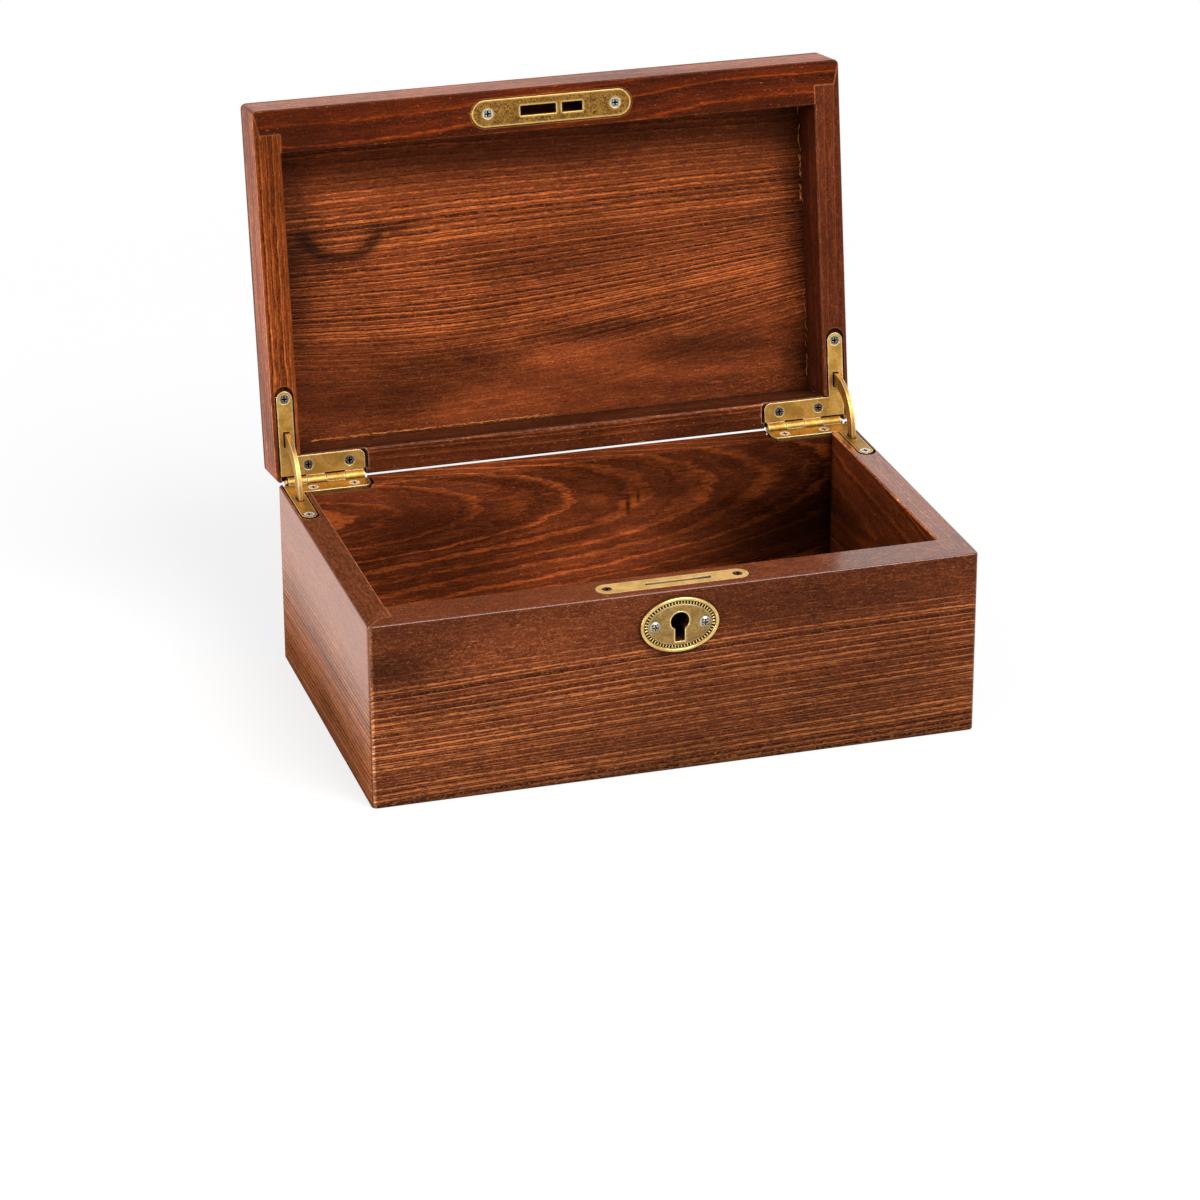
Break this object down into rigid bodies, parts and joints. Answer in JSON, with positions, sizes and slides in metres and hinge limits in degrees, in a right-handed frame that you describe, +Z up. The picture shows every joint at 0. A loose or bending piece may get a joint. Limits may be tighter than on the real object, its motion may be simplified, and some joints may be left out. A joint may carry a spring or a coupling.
{
  "type": "hinged wooden storage box",
  "caption": "Hinged wooden storage box with a framed lift-up lid, brass quadrant hinges with curved stays, a mortised hook lock and an oval keyhole escutcheon.",
  "frame": {"origin": "Centre of the underside of the case.", "axes": "+X to the right along the length, +Y back towards the hinges, +Z up. The front with the keyhole faces -Y. The lid is stored open on its stays, as in the picture."},
  "size_m": [0.2208, 0.1782, 0.2033],
  "materials": {
    "case_wood": "red-brown stained hardwood with strong grain, satin lacquer, worn orange along the edges",
    "lid_wood": "red-brown stained hardwood with strong grain, satin lacquer, worn orange along the edges",
    "brass": "aged brass with a mottled brown patina and bright rubbed edges",
    "screw_steel": "plain steel screws, slightly tarnished",
    "lock_steel": "dark plain steel"
  },
  "bodies": {
    "case": {"case_front": "case_wood", "case_back": "case_wood", "case_left_side": "case_wood", "case_right_side": "case_wood", "case_bottom": "case_wood", "left_hinge_case_leaf": "brass", "right_hinge_case_leaf": "brass", "left_hinge_pin": "brass", "right_hinge_pin": "brass", "left_case_leaf_screws": "screw_steel", "right_case_leaf_screws": "screw_steel", "lock_selvedge": "brass", "lock_selvedge_screws": "screw_steel", "lock_case": "lock_steel", "lock_cap": "lock_steel", "lock_rivets": "lock_steel", "lock_hook_post": "lock_steel", "lock_spring": "lock_steel", "escutcheon": "brass", "escutcheon_screws": "screw_steel"},
    "lid": {"lid_front_rail": "lid_wood", "lid_back_rail": "lid_wood", "lid_left_rail": "lid_wood", "lid_right_rail": "lid_wood", "lid_top_panel": "lid_wood", "left_hinge_lid_leaf": "brass", "right_hinge_lid_leaf": "brass", "left_lid_leaf_screws": "screw_steel", "right_lid_leaf_screws": "screw_steel", "strike_plate": "brass", "strike_plate_screws": "screw_steel"},
    "left_stay": {"left_hinge_stay": "brass"},
    "right_stay": {"right_hinge_stay": "brass"},
    "hook": {"lock_hook_bolt": "brass"}
  },
  "joints": [
    {"name": "lid_hinge", "type": "hinge", "parent": "case", "child": "lid", "pos_m": [0, 0.0681, 0.0682], "axis": [1, 0, 0], "range_deg": [0, 98]},
    {"name": "left_stay_swing", "type": "hinge", "parent": "case", "child": "left_stay", "pos_m": [0, 0.0681, 0.0682], "axis": [1, 0, 0], "range_deg": [0, 49]},
    {"name": "right_stay_swing", "type": "hinge", "parent": "case", "child": "right_stay", "pos_m": [0, 0.0681, 0.0682], "axis": [1, 0, 0], "range_deg": [0, 49]},
    {"name": "hook_swing", "type": "hinge", "parent": "case", "child": "hook", "pos_m": [-0.009, -0.06, 0.048], "axis": [0, -1, 0], "range_deg": [0, 31]}
  ],
  "couplings": [
    {"joint": "left_stay_swing", "follows": "lid_hinge", "ratio": 0.5},
    {"joint": "right_stay_swing", "follows": "lid_hinge", "ratio": 0.5}
  ]
}
